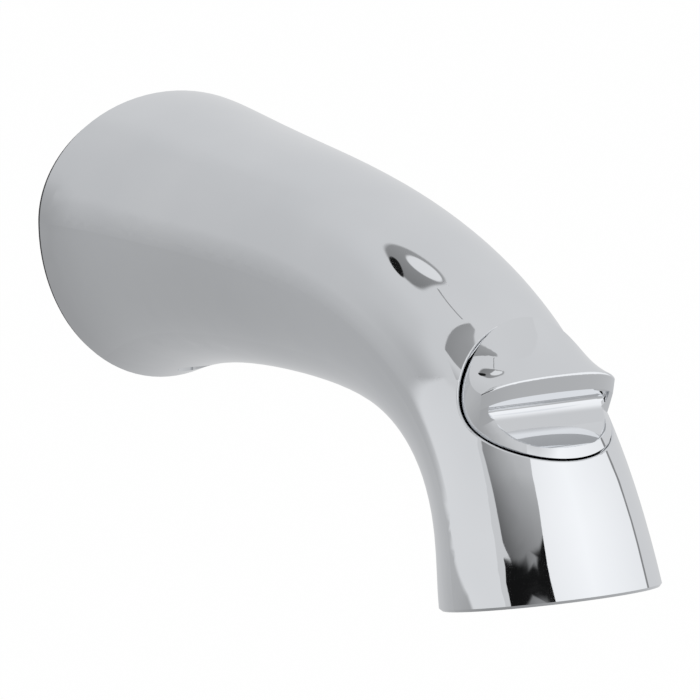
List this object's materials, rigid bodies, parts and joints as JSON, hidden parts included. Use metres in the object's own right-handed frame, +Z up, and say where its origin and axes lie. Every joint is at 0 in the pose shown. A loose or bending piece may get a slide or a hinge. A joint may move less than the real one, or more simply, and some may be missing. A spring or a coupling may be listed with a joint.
{
  "type": "bath spout",
  "caption": "Chrome bath spout with a flared wall base, an arched neck, a down-turned outlet and a round pull-out diverter knob with a finger lip.",
  "frame": {"origin": "Middle of the mouth of the pipe socket, 6 mm in front of the wall.", "axes": "+Y points into the wall along the pipe, the spout stands out along -Y, +Z is up and X = 0 is the plane of symmetry."},
  "size_m": [0.07, 0.1806, 0.0934],
  "materials": {
    "spout_chrome": "polished chrome plate",
    "knob_chrome": "polished chrome plate",
    "brass": "turned, unplated",
    "steel": "plain stainless steel",
    "rubber": "moulded, matt black",
    "fibre": "pressed fibre sheet, matt"
  },
  "bodies": {
    "spout": {"spout_body": "spout_chrome", "wall_gasket": "rubber", "inlet_adaptor": "brass", "adaptor_circlip": "steel", "adaptor_o_ring": "rubber", "pipe_o_ring_rear": "rubber", "pipe_o_ring_front": "rubber", "set_screw": "steel", "valve_seat": "brass", "seat_gasket": "fibre", "stem_bushing": "brass", "bushing_washer": "fibre", "stem_o_ring": "rubber", "gland_washer": "brass", "knob_bumper": "rubber", "return_spring": "steel"},
    "diverter": {"diverter_knob": "knob_chrome", "diverter_stem": "steel", "seal_washer": "steel", "disc_seal": "rubber", "diverter_disc": "brass", "disc_nut": "steel"}
  },
  "joints": [
    {"name": "diverter_pull", "type": "slide", "parent": "spout", "child": "diverter", "axis": [0, -0.7431, 0.6691], "range_m": [0, 0.005], "stiffness_N_per_m": 1800, "springref_m": -0.002, "deforming": ["return_spring"]}
  ]
}
